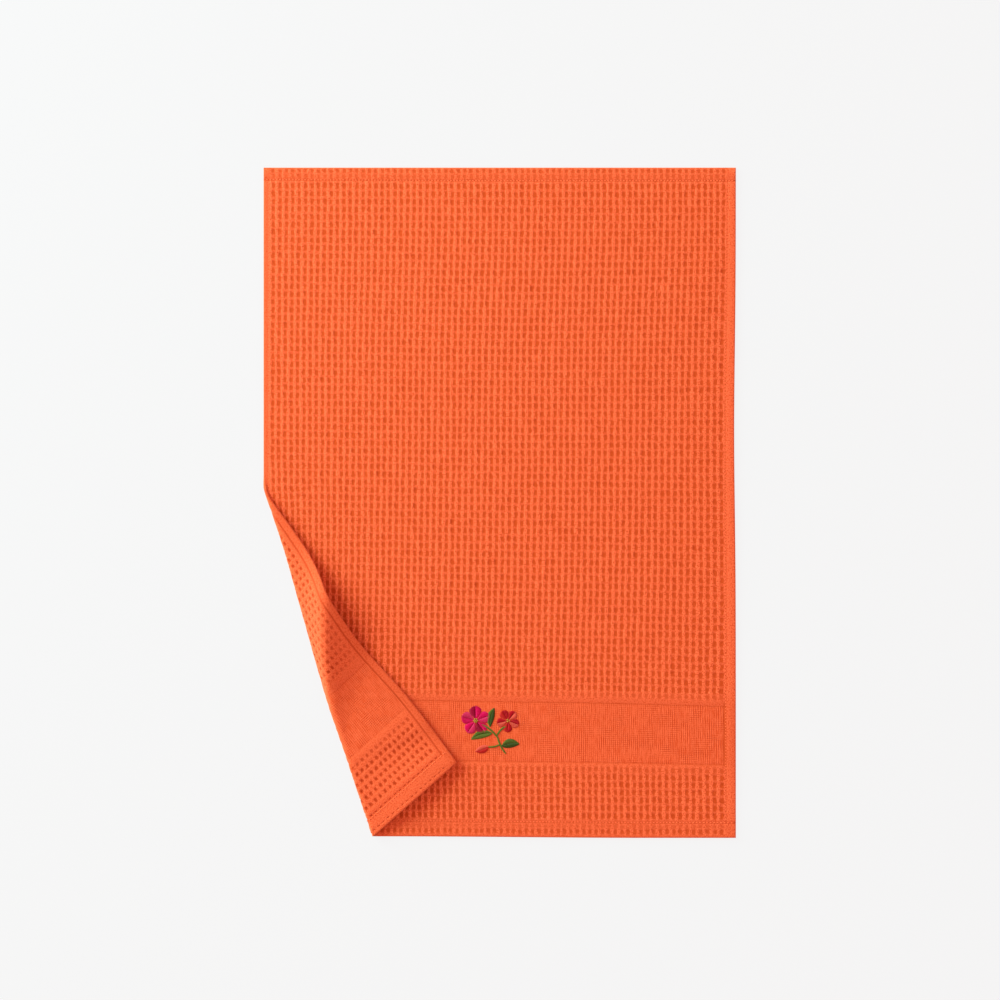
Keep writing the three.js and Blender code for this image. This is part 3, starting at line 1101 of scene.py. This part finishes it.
        crossings = [(left, low), (right, low), (right, high), (left, high)]
        crossings += [(middle, low), (middle, high)] if hollow.bars else []
        ring = [grid[np.ix_(column, row)][..., None] for column, row in crossings]
        own = grid.size + np.arange(own_depth.size).reshape(own_depth.shape)
        cell = np.concatenate([*ring, own], axis=-1).reshape(-1, len(ring) + own.shape[-1])
        kept = np.ones((xs.size - 1, ys.size - 1), bool)
        kept[np.ix_(np.concatenate([left, middle]), low)] = False
        quads = [self._squares(grid)[kept.ravel()]]
        quads += [cell[:, corners] for corners in hollow.quads]
        triangles = np.concatenate([cell[:, corners] for corners in hollow.triangles])
        outwards = slice(None, None, int(face.value))
        every = np.concatenate([even.reshape(-1, 2), own_even.reshape(-1, 2)])
        wavering = self._wavering(even, face, numbers)
        moved = np.concatenate([wavering.reshape(-1, 2), (own_even + self.waver[face] * shift).reshape(-1, 2)])
        sunk = np.concatenate([bars.ravel(), (own_depth * uneven * hollow.shares).ravel()])
        beside = self.hem_crest * (columns.share(xs) == 0)
        depth = np.maximum(columns.share(xs), beside)[:, None] * rows.share(ys) * self.weave.open(even, face)
        depth = np.concatenate([depth.ravel(), own_depth.ravel()])
        cells = np.stack([columns.number(every[:, 0]), rows.number(every[:, 1])], axis=-1)
        values = np.column_stack([moved, sunk, every, cells, depth])
        quads, triangles = np.concatenate(quads)[:, outwards], triangles[:, outwards]
        if face is Face.BACK:
            values, quads, triangles = self._refined(values, quads, triangles)
        return FaceMesh(
            points=self._place(values[:, :2], values[:, 2], face),
            even=values[:, 3:5],
            cells=values[:, 5:7],
            depth=values[:, 7],
            quads=quads,
            triangles=triangles,
            grid=grid,
            columns=xs,
            rows=ys,
        )

    def _refined(
        self, values: np.ndarray, quads: np.ndarray, triangles: np.ndarray
    ) -> tuple[np.ndarray, np.ndarray, np.ndarray]:
        """Split the edges that bend round the roll, so that the outline of the turned corner is round.

        An edge is split in its middle where that lies on the roll. A triangle with one split edge becomes two, with
        two it becomes three and with all three it becomes four.

        Args:
            values: values at each point, of which the first two are its place.
            quads: point numbers of the faces with four corners.
            triangles: point numbers of the faces with three corners.

        Returns:
            The values with those of the new points, the quads that are left and the triangles.
        """
        near = self.laid.on_roll(values[:, :2], self.roll_margin)
        bent = near[quads].any(axis=1)
        near_triangles = near[triangles].any(axis=1)
        split = np.concatenate([quads[bent][:, [0, 1, 2]], quads[bent][:, [0, 2, 3]], triangles[near_triangles]])
        edges = np.sort(np.stack([split, np.roll(split, -1, axis=1)], axis=-1), axis=-1)
        unique, edge = np.unique(edges.reshape(-1, 2), axis=0, return_inverse=True)
        on_outline = np.abs(values[unique, 3:5]) > (RIGHT - TOUCHING, TOP - TOUCHING)
        marked = near[unique].any(axis=1) & ~on_outline.all(axis=1).any(axis=1)
        middles = np.cumsum(marked) - 1 + len(values)
        added = values[unique[marked]].mean(axis=1)
        marked, middles = marked[edge].reshape(-1, 3), middles[edge].reshape(-1, 3)
        count = marked.sum(axis=1)
        first = np.where(count == 2, marked.argmin(axis=1), marked.argmax(axis=1))
        order = (first[:, None] + (0, 1, 2)) % 3
        a, b, c = np.take_along_axis(split, order, axis=1).T
        ab, bc, ca = np.take_along_axis(middles, order, axis=1).T
        parts = (
            (count == 0, ((a, b, c),)),
            (count == 1, ((a, ab, c), (ab, b, c))),
            (count == 2, ((a, b, bc), (a, bc, ca), (ca, bc, c))),
            (count == 3, ((a, ab, ca), (ab, b, bc), (ca, bc, c), (ab, bc, ca))),
        )
        pieces = [np.stack(corners, axis=1)[chosen] for chosen, several in parts for corners in several]
        return (
            np.concatenate([values, added]),
            quads[~bent],
            np.concatenate([triangles[~near_triangles], *pieces]),
        )

    @staticmethod
    def _squares(grid: np.ndarray) -> np.ndarray:
        """Faces between the points of a grid, counterclockwise from the lower left."""
        corners = [grid[:-1, :-1], grid[1:, :-1], grid[1:, 1:], grid[:-1, 1:]]
        return np.stack(corners, axis=-1).reshape(-1, 4)

    @staticmethod
    def _rim(front: np.ndarray, back: np.ndarray, front_at: np.ndarray, back_at: np.ndarray) -> np.ndarray:
        """Triangles between one side of the front face and the same side of the back face.

        Both sides are walked together in order of place, and each step gives one triangle.

        Args:
            front: numbers of the front's points along the side, counterclockwise round the cloth.
            back: numbers of the back's points along it.
            front_at: distance of each front point from the start of the side.
            back_at: distance of each back point from there.

        Returns:
            Point numbers of the triangles.
        """
        order = np.argsort(np.concatenate([front_at[1:], back_at[1:]]), kind="stable")
        on_front = order < len(front) - 1
        i = np.cumsum(on_front) - on_front
        j = np.cumsum(~on_front) - ~on_front
        after = (front[np.minimum(i + 1, len(front) - 1)], back[np.minimum(j + 1, len(back) - 1)])
        return np.stack([front[i], back[j], np.where(on_front, *after)], axis=-1)

    def build(self) -> bpy.types.Object:
        """Make the cloth.

        Returns:
            The piece, in the place of the solid.
        """
        numbers = np.random.default_rng(SEED)
        front = self.face(Face.FRONT, self._pit(), numbers)
        back = self.face(Face.BACK, self._hole(), numbers)
        count = len(front.points)
        grids = (front.grid, back.grid + count)
        columns, rows = (front.columns, back.columns), (front.rows, back.rows)
        sides = [
            ([grid[:, 0] for grid in grids], [at - LEFT for at in columns]),
            ([grid[-1, :] for grid in grids], [at - BOTTOM for at in rows]),
            ([grid[::-1, -1] for grid in grids], [RIGHT - at[::-1] for at in columns]),
            ([grid[0, ::-1] for grid in grids], [TOP - at[::-1] for at in rows]),
        ]
        rims = [self._rim(*numbers_of, *places) for numbers_of, places in sides]
        even = np.concatenate([front.even, back.even])
        piece = write_mesh(
            "cloth",
            np.concatenate([front.points, back.points]),
            np.concatenate([front.quads, back.quads + count]),
            np.concatenate([front.triangles, back.triangles + count, *rims]),
        )
        set_uv(piece, "flat", (even - (LEFT, BOTTOM)) * MM)
        set_uv(piece, "cells", np.concatenate([front.cells, back.cells]))
        set_values(piece, "depth", np.concatenate([front.depth, back.depth]))
        set_values(piece, "plain", self.weave.plain(*even.T))
        set_values(piece, "back", (np.arange(len(even)) >= count).astype(float))
        # Painted shade of the creases and of the left hem, at each point
        creases = [self.weave.crease(*one.even.T, face) for one, face in ((front, Face.FRONT), (back, Face.BACK))]
        set_values(piece, "crease", np.concatenate(creases))
        piece.data.materials.append(self.finish.material())
        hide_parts("towel")
        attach(piece, "root")
        return piece


def tubes(paths: np.ndarray, radius: np.ndarray) -> tuple[np.ndarray, np.ndarray]:
    """Closed threads with four sides each, along paths over the flat cloth.

    A section's corners lie a radius to the left, above, to the right and below its path. The radius is next to
    nothing at both ends of a thread, which closes it.

    Args:
        paths: place across, place along and height of each point, with one row of points a thread.
        radius: radius at each point of a thread.

    Returns:
        The corners' places and heights, one a row, and the point numbers of the faces.
    """
    steps = np.gradient(paths[..., :2], axis=1)
    left = unit(np.stack([-steps[..., 1], steps[..., 0]], axis=-1))
    sideways = np.concatenate([left, np.zeros_like(left[..., :1])], axis=-1)
    upward = np.array([0.0, 0.0, 1.0])
    section = [sideways, np.broadcast_to(upward, sideways.shape), -sideways, np.broadcast_to(-upward, sideways.shape)]
    corners = paths[:, :, None] + np.stack(section, axis=2) * radius[None, :, None, None]
    numbers = np.arange(corners.size // 3).reshape(corners.shape[:3])
    after = np.roll(numbers, -1, axis=2)
    sides = np.stack([numbers[:, :-1], after[:, :-1], after[:, 1:], numbers[:, 1:]], axis=-1).reshape(-1, 4)
    ends = np.concatenate([numbers[:, 0, ::-1], numbers[:, -1]])
    return corners.reshape(-1, 3), np.concatenate([sides, ends])


def joined(parts: list[tuple[np.ndarray, np.ndarray]]) -> tuple[np.ndarray, np.ndarray]:
    """Join parts into one, whose faces count on from the points before.

    Args:
        parts: the points and the point numbers of the faces of each part.

    Returns:
        All points and all faces.
    """
    before = np.cumsum([0, *(len(points) for points, _ in parts)])
    faces = [faces + count for (_, faces), count in zip(parts, before)]
    return np.concatenate([points for points, _ in parts]), np.concatenate(faces)


@dataclass
class HemStitches:
    """Lock stitches along the inner edge of each hem: short threads that dive in at each end.

    Those of the side hems are drawn in on the front and are left out on the back.
    """

    towel: Towel
    pitch: float = 3.3
    length: float = 2.7
    radius: float = 0.36
    height: float = 0.3
    sunk: float = 0.35
    waver: float = 0.14
    dive: float = 1.9
    margin: float = 2.0
    taper: tuple[float, ...] = (0.3, 0.9, 1.0, 0.9, 0.3)
    thread: StitchingThread = StitchingThread("sewing_thread", "#ff7848", roughness=0.7, shine=0.2)

    def _seam(self, start: Pair, end: Pair, height: float, numbers: np.random.Generator) -> np.ndarray:
        """Paths of the stitches of one seam: each lies along it and dives in at both ends, along t^2.

        Args:
            start: place of the seam's first end in the even weave.
            end: place of its last end.
            height: height of a stitch's middle above the face.
            numbers: source of the small unevenness.

        Returns:
            The points of each stitch.
        """
        start, end = np.array(start), np.array(end)
        length = np.linalg.norm(end - start)
        direction = (end - start) / length
        count = int(length / self.pitch)
        at = (np.arange(count) + 0.5) * length / count
        t = np.linspace(-1.0, 1.0, THREAD_POINTS)
        along = at[:, None] + self.length / 2 * t + self.waver * numbers.uniform(-1, 1, (count, 1))
        off = self.waver * numbers.uniform(-1, 1, (count, THREAD_POINTS))
        plan = start + direction * along[..., None] + np.array([-direction[1], direction[0]]) * off[..., None]
        heights = np.broadcast_to(height - self.dive * self.height * t**2, along.shape)
        return np.concatenate([plan, heights[..., None]], axis=-1)

    def build(self) -> bpy.types.Object:
        """Make the stitches of all four seams on the front and of the end seams on the back.

        Returns:
            The stitches, as one piece.
        """
        numbers = np.random.default_rng(SEED + 1)
        weave = self.towel.weave
        left, right, bottom, top = weave.seam_left, weave.seam_right, weave.seam_bottom, weave.seam_top
        margin, drawn_in = self.margin, self.height - self.sunk
        ends = [((LEFT + margin, y), (RIGHT - margin, y), self.height) for y in (bottom, top)]
        sides = [((x, bottom + margin), (x, top - margin), drawn_in) for x in (left, right)]
        parts = []
        for face, seams in ((Face.FRONT, ends + sides), (Face.BACK, ends)):
            paths = np.concatenate([self._seam(*seam, numbers) for seam in seams])
            flat, faces = tubes(paths, self.radius * np.array(self.taper))
            parts.append((self.towel.on_face(flat[:, :2], flat[:, 2], face), faces[:, :: int(face.value)]))
        piece = write_mesh("hem_stitches", *joined(parts))
        piece.data.materials.append(self.thread.material())
        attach(piece, "root")
        return piece


class Dye(Enum):
    """Colours of the embroidery thread."""

    CRIMSON = "#98002e"
    MAGENTA = "#cc0050"
    PINK = "#c82856"
    RED = "#af0c18"
    SCARLET = "#bd201a"
    CORAL = "#d3543f"
    DARK_GREEN = "#3a4a16"
    GREEN = "#51631f"
    LIGHT_GREEN = "#5d6f24"
    OLIVE = "#64681c"
    GOLD = "#b08a30"


@dataclass(frozen=True)
class Satin:
    """A petal, bud, leaf or stem of satin stitch: threads slant from its middle line out to both edges.

    The middle line runs from base to tip and bows to its left by bow times its length. The half width rises from
    the base to the fullest place and falls to the tip, along a sine whose argument is a power of the place. A
    thread's height is cushion times the root of a sine, whose argument goes from rise_from to 1, times pi.
    """

    base: Pair
    tip: Pair
    width: float
    left: Dye
    right: Dye
    bow: float = 0.0
    fullest: float = 0.55
    bluntness: float = 0.75
    slant: float = 0.12
    first_edge: float = 0.02
    cushion: float = 0.45
    rise_from: float = 0.12

    def paths(self, side: int, spacing: float) -> np.ndarray:
        """Paths of one half's threads.

        Args:
            side: 1 for the left half and -1 for the right half.
            spacing: distance between threads along the middle line.

        Returns:
            The points of each thread, with their heights above the cloth.
        """
        base, tip = np.array(self.base), np.array(self.tip)
        length = np.linalg.norm(tip - base)
        forward = (tip - base) / length
        leftward = np.array([-forward[1], forward[0]])
        count = max(int(length / spacing), 3)
        start = np.linspace(0.0, 1.0 - self.slant, count)
        end = np.linspace(self.first_edge, 1.0, count)
        power = math.log(0.5) / math.log(self.fullest)

        def line(t: np.ndarray) -> np.ndarray:
            """Places on the middle line."""
            bow = self.bow * length * 4 * t * (1 - t)
            return base + forward * (t * length)[..., None] + leftward * bow[..., None]

        half = self.width / 2 * np.sin(math.pi * end**power) ** self.bluntness
        edge = line(end) + side * leftward * half[..., None]
        s = np.linspace(0.0, 1.0, THREAD_POINTS)
        plan = line(start)[:, None] * (1 - s)[:, None] + edge[:, None] * s[:, None]
        height = self.cushion * np.sqrt(np.sin(math.pi * (self.rise_from + (1 - self.rise_from) * s)))
        return np.concatenate([plan, np.broadcast_to(height, plan.shape[:2])[..., None]], axis=-1)


def petals(
    centre: Pair,
    length: float,
    width: float,
    first: float,
    dyes: list[tuple[Dye, Dye]],
    start: float = 1.3,
) -> list[Satin]:
    """Petals round a blossom.

    Args:
        centre: middle of the blossom.
        length: length of a petal.
        width: width of a petal.
        first: direction of the first petal, in degrees.
        dyes: colours of the halves of each petal, counterclockwise from the first.
        start: distance from the middle at which petals start.

    Returns:
        One shape a petal.
    """
    turns = [math.radians(first + 360 * i / len(dyes)) for i in range(len(dyes))]
    return [
        Satin(
            base=(centre[0] + start * math.cos(turn), centre[1] + start * math.sin(turn)),
            tip=(centre[0] + length * math.cos(turn), centre[1] + length * math.sin(turn)),
            width=width,
            left=left,
            right=right,
            fullest=0.62,
            bluntness=0.7,
        )
        for turn, (left, right) in zip(turns, dyes)
    ]


@dataclass
class Sprig:
    """Small embroidered sprig on the plain band: two blossoms, a bud and leaves on a branching stem."""

    laid: LaidCloth
    centre: Pair = (-9.7, -239.0)
    large: Pair = (-15.5, 9.5)
    small: Pair = (18.5, 9.5)
    spacing: float = 0.5
    radius: float = 0.34
    taper: tuple[float, ...] = (0.5, 1.0, 1.0, 1.0, 0.4)
    waver: float = 0.06

    # Knots: how many lie round the large blossom, where half as many lie round the small one, their half length,
    # their distance from the middle of the large and of the small blossom, and their lean, height and arch
    knots: int = 6
    knot: float = 0.75
    large_ring: float = 1.7
    small_ring: float = 1.19
    knot_lean: float = 0.2
    knot_height: float = 0.55
    knot_arch: float = 0.3

    def shapes(self) -> list[Satin]:
        """Shapes of the sprig, round its own middle.

        Returns:
            The stems, leaves, bud and petals, in the order in which they are sewn.
        """
        red, pink, crimson = (Dye.RED, Dye.CORAL), (Dye.MAGENTA, Dye.PINK), (Dye.CRIMSON, Dye.MAGENTA)
        scarlet, bud, stem = (Dye.SCARLET, Dye.RED), (Dye.SCARLET, Dye.CORAL), (Dye.OLIVE, Dye.LIGHT_GREEN)
        leaf, pale_leaf = (Dye.GREEN, Dye.DARK_GREEN), (Dye.LIGHT_GREEN, Dye.GREEN)
        stems = [
            ((16.0, -25.0), (7.5, -8.0), 0.06),
            ((8.0, -9.0), (-10.0, 6.0), -0.07),
            ((6.5, -7.0), (17.0, 4.0), 0.1),
            ((10.5, -15.0), (-3.0, -18.0), 0.1),
        ]
        return [
            *(Satin(base, tip, 1.8, *stem, bow, fullest=0.5, bluntness=0.12) for base, tip, bow in stems),
            Satin((12.0, -17.0), (30.5, -15.0), 10.0, *leaf, bow=0.1, fullest=0.45),
            Satin((1.5, -4.0), (-20.5, -10.5), 9.0, *pale_leaf, bow=-0.1, fullest=0.45),
            Satin((-0.5, 3.0), (4.0, 23.0), 8.0, *leaf, bow=0.08, fullest=0.5),
            Satin((-2.0, -18.0), (-16.0, -23.0), 8.5, *bud, bow=0.04, fullest=0.45),
            *petals(self.large, 16.0, 13.0, first=20.0, dyes=[pink, crimson, pink, pink[::-1], crimson[::-1]]),
            *petals(self.small, 12.5, 10.0, first=50.0, dyes=[red, scarlet, red[::-1], scarlet[::-1], red]),
        ]

    def _knots(self) -> np.ndarray:
        """Paths of the gold knots in the middles of the blossoms, each one a short fat thread.

        A knot is higher in its middle, along 1 - t^2.

        Returns:
            The points of each knot.
        """
        turns = np.radians(np.arange(self.knots) * (360.0 / self.knots))
        ring = np.stack([np.cos(turns), np.sin(turns)], axis=-1)
        large, small = ring * self.large_ring + self.large, ring[::2] * self.small_ring + self.small
        middles = np.concatenate([large, [self.large], small])
        t = np.linspace(-1.0, 1.0, THREAD_POINTS)
        plan = middles[:, None] + np.stack([t * self.knot, t * self.knot_lean], axis=-1)
        height = np.broadcast_to(self.knot_height + self.knot_arch * (1 - t**2), plan.shape[:2])
        return np.concatenate([plan, height[..., None]], axis=-1)

    def build(self) -> bpy.types.Object:
        """Make the sprig.

        Returns:
            The sprig as one piece, with one material a colour.
        """
        numbers = np.random.default_rng(SEED + 2)
        halves = [
            (shape.paths(side, self.spacing), dye, self.radius)
            for shape in self.shapes()
            for side, dye in ((1, shape.left), (-1, shape.right))
        ]
        halves.append((self._knots(), Dye.GOLD, self.knot))
        dyes, taper = list(Dye), np.array(self.taper)
        parts = [
            tubes(paths + self.waver * numbers.uniform(-1, 1, paths.shape), radius * taper)
            for paths, _, radius in halves
        ]
        slots = [np.full(len(faces), dyes.index(dye)) for (_, faces), (_, dye, _) in zip(parts, halves)]
        flat, faces = joined(parts)
        x, y = flat[:, 0] + self.centre[0], flat[:, 1] + self.centre[1]
        piece = write_mesh("sprig", self.laid.place(x, y, flat[:, 2] + BAND_FRONT), faces)
        for dye in dyes:
            thread = StitchingThread(f"embroidery_thread_{dye.name.lower()}", dye.value)
            piece.data.materials.append(thread.material())
        piece.data.polygons.foreach_set("material_index", np.concatenate(slots).astype(np.int32))
        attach(piece, "root")
        return piece


@dataclass
class Studio:
    """Pale floor, soft light from the upper left and a camera straight above, as in the photograph.

    The lamp is cool, as daylight is, and the surrounding warm, so that the shadows on the cloth stay as red as in the
    photograph. Together they are neutral, and so is the floor.
    """

    picture_width: float = 1.05
    lens: float = 100.0
    sees_to: float = 50.0
    centre_x: float = 0.0003
    centre_y: float = 0.0029
    light_azimuth: float = 148.0
    light_elevation: float = 19.5
    light_distance: float = 3.0
    light_size: float = 2.0
    light_watts: float = 215.0
    light_colour: Triple = (0.67, 1.0, 1.0)
    ambient: float = 0.87
    ambient_colour: tuple[float, float, float, float] = (1.0, 0.68, 0.66, 1.0)
    floor_half_mm: float = 16000.0
    floor_below_mm: float = 0.1
    floor_glow: float = 0.86
    floor_albedo: str = "#3c3c3c"

    def camera(self) -> None:
        """Camera above the cloth, which looks straight down with the cloth's length upright in the picture."""
        data = bpy.data.cameras.new("camera")
        data.lens = self.lens
        data.clip_end = self.sees_to
        camera = link("camera", data)
        height = self.picture_width * self.lens / data.sensor_width + 2 * WAFFLE_HALF * MM
        camera.location = (self.centre_x, self.centre_y, height)
        bpy.context.scene.camera = camera

    def lights(self) -> None:
        """One large soft light from the upper left, and an even pale surrounding."""
        azimuth, elevation = math.radians(self.light_azimuth), math.radians(self.light_elevation)
        level = math.cos(elevation)
        towards = Vector((math.cos(azimuth) * level, math.sin(azimuth) * level, math.sin(elevation)))
        data = bpy.data.lights.new("main_light", "AREA")
        data.shape = "DISK"
        data.size = self.light_size
        data.energy = self.light_watts
        data.color = self.light_colour
        lamp = link("main_light", data)
        lamp.location = towards * self.light_distance
        lamp.rotation_euler = towards.to_track_quat("Z", "Y").to_euler()
        world = bpy.data.worlds.new("surrounding")
        world.use_nodes = True
        world.node_tree.nodes.clear()
        even = {"Color": self.ambient_colour, "Strength": self.ambient}
        light = add_node(world.node_tree, "Background", even)
        add_node(world.node_tree, "OutputWorld", {"Surface": light})
        bpy.context.scene.world = world

    def floor(self) -> None:
        """Pale floor that glows a little, so that it stays even and its shadows stay faint."""
        plan = np.array([(-1, -1), (1, -1), (1, 1), (-1, 1)]) * self.floor_half_mm
        points = np.column_stack([plan, np.full(4, -self.floor_below_mm)])
        floor = write_mesh("floor", points, np.array([[0, 1, 2, 3]]))
        finish = {
            "Base Color": linear(self.floor_albedo),
            "Roughness": 1.0,
            "Specular IOR Level": 0.0,
            "Emission Color": (1.0, 1.0, 1.0, 1.0),
            "Emission Strength": self.floor_glow,
        }
        floor.data.materials.append(even_material("pale_floor", finish))

    def build(self) -> None:
        """Set up the camera, the lights, the floor and plain picture colours."""
        self.camera()
        self.lights()
        self.floor()
        bpy.context.scene.view_settings.view_transform = "Standard"


def main() -> None:
    """Build the towel and its surroundings."""
    logging.basicConfig(level=logging.INFO, format="%(name)s: %(message)s")
    laid, weave = LaidCloth(), Weave()
    Studio().build()
    towel = Towel(laid, weave)
    cloth = towel.build()
    sewn = [HemStitches(towel).build(), Sprig(laid).build()]
    for piece in (cloth, *sewn):
        piece.data.calc_loop_triangles()
        LOG.info("%s: %d points, %d triangles", piece.name, len(piece.data.vertices), len(piece.data.loop_triangles))


if __name__ == "__main__":
    main()
